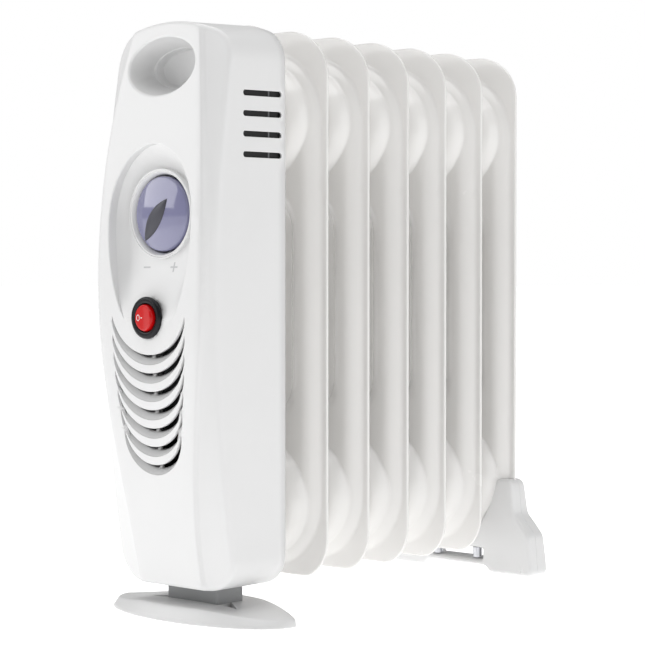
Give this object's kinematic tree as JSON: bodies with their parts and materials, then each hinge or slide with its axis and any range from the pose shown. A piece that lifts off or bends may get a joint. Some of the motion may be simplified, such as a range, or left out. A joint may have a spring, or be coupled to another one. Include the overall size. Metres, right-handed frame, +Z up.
{
  "type": "oil filled radiator heater",
  "caption": "Compact oil filled radiator: a row of welded steel fins behind a moulded control housing with a thermostat knob, a rocker switch and a handle pocket, on two feet.",
  "frame": {"origin": "on the floor, in the middle of the heater's outline seen from above", "axes": "+Z up, -Y towards the control end, +X across the heater to the right-hand side seen from behind it"},
  "size_m": [0.152, 0.334, 0.3736],
  "materials": {
    "fin_enamel": "gloss",
    "white_plastic": "satin",
    "zinc_steel": "satin",
    "shield_steel": "satin",
    "brass_plug": "satin",
    "element_sheath": "matte",
    "black_rubber": "matte",
    "black_plastic": "gloss",
    "tan_plastic": "matte",
    "knob_plastic": "gloss",
    "grip_plastic": "satin",
    "red_plastic": "gloss",
    "lamp_glass": "gloss",
    "lead_sleeve": "matte",
    "grey_plastic": "matte"
  },
  "bodies": {
    "radiator": {"fin_1": "fin_enamel", "fin_2": "fin_enamel", "fin_3": "fin_enamel", "fin_4": "fin_enamel", "fin_5": "fin_enamel", "fin_6": "fin_enamel", "fin_7": "fin_enamel", "front_header_cap": "fin_enamel", "rear_header_caps": "fin_enamel", "oil_fill_plug": "zinc_steel", "element_socket": "zinc_steel", "element_gasket": "black_rubber", "element_plug": "brass_plug", "heating_element": "element_sheath", "element_terminals": "zinc_steel", "shield_standoffs": "zinc_steel", "heat_shield": "shield_steel", "shield_screws": "zinc_steel", "thermal_cutout": "black_plastic", "cutout_strap": "zinc_steel", "front_cover": "white_plastic", "dial_ring": "white_plastic", "thermostat_bracket": "zinc_steel", "bracket_screws": "zinc_steel", "thermostat_body": "tan_plastic", "switch_body": "black_plastic", "switch_lamp": "lamp_glass", "switch_contacts": "brass_plug", "terminal_block": "tan_plastic", "earth_stud": "zinc_steel", "lead_switch": "lead_sleeve", "lead_thermostat": "lead_sleeve", "lead_element": "lead_sleeve", "lead_earth": "lead_sleeve", "cord_gland": "black_rubber", "foot_pedestal": "grey_plastic", "pedestal_screws": "zinc_steel", "front_foot": "white_plastic", "foot_screws": "zinc_steel", "rear_foot_front": "white_plastic", "rear_foot_back": "white_plastic", "rear_foot_screws": "zinc_steel", "thumb_screws": "zinc_steel"},
    "knob": {"control_knob": "knob_plastic", "knob_grip": "grip_plastic", "thermostat_shaft": "zinc_steel"},
    "rocker": {"switch_rocker": "red_plastic"}
  },
  "joints": [
    {"name": "knob_turn", "type": "hinge", "parent": "radiator", "child": "knob", "pos_m": [0, -0.14993, 0.2525], "axis": [0, 1, 0], "range_deg": [0, 270]},
    {"name": "rocker_tilt", "type": "hinge", "parent": "radiator", "child": "rocker", "pos_m": [0, -0.16283, 0.1884], "axis": [0, 0, 1], "range_deg": [0, 14]}
  ]
}
